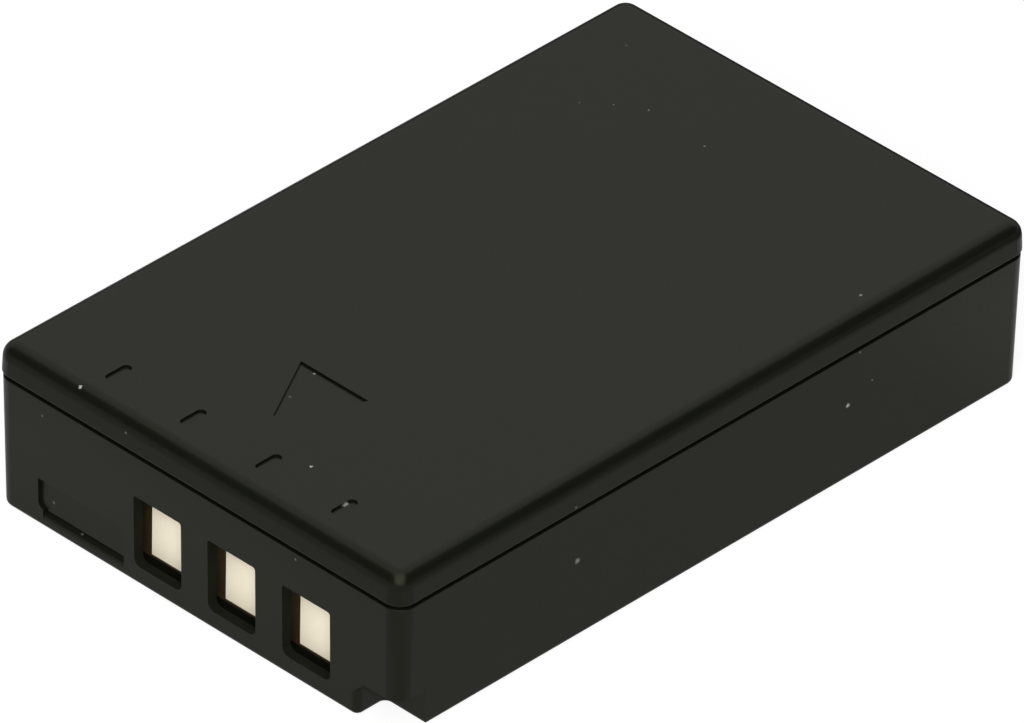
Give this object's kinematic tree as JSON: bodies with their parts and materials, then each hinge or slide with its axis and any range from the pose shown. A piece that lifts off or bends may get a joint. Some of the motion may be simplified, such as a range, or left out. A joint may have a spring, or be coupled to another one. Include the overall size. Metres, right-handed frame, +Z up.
{
  "type": "camera battery",
  "caption": "Flat rectangular lithium-ion camera battery in a black moulded case with contact windows in one end and an arrow sunk in the cover.",
  "frame": {"origin": "middle of the case's underside", "axes": "+X along the length from the contact end to the plain end, +Y to the left as seen from the contact end, +Z up through the cover"},
  "size_m": [0.055, 0.035, 0.012],
  "materials": {
    "case_black": "fine satin moulded texture, black",
    "contact_gold": "pale gold flash plating, satin",
    "board_brown": "dark brown paper laminate, dull",
    "package_black": "moulded epoxy, matt black",
    "chip_grey": "glazed ceramic chip, dark grey",
    "chip_tan": "glazed ceramic chip, tan",
    "can_aluminium": "drawn can, dull silver",
    "tape_white": "tissue tape, off-white",
    "tape_amber": "polyimide film, clear amber",
    "foam_grey": "closed-cell foam, dark grey",
    "fibre_paper": "vulcanised fibre sheet, grey-green",
    "cutoff_body": "moulded body, dark grey",
    "strip_nickel": "rolled nickel strip, satin"
  },
  "bodies": {
    "root": {"lower_case": "case_black", "upper_cover": "case_black", "contact_positive": "contact_gold", "contact_sense": "contact_gold", "contact_negative": "contact_gold", "protection_board": "board_brown", "power_mosfet": "package_black", "protection_ic": "package_black", "thermistor": "chip_grey", "chip_resistors": "chip_grey", "chip_capacitors": "chip_tan", "cell_left": "can_aluminium", "cell_right": "can_aluminium", "cell_divider": "tape_white", "lower_adhesive": "tape_white", "strip_tape": "tape_amber", "upper_pads": "foam_grey", "front_insulator": "fibre_paper", "rear_insulator": "fibre_paper", "thermal_cutoff": "cutoff_body", "negative_strip": "strip_nickel", "positive_strip": "strip_nickel", "series_link": "strip_nickel", "midpoint_strip": "strip_nickel"}
  },
  "joints": []
}
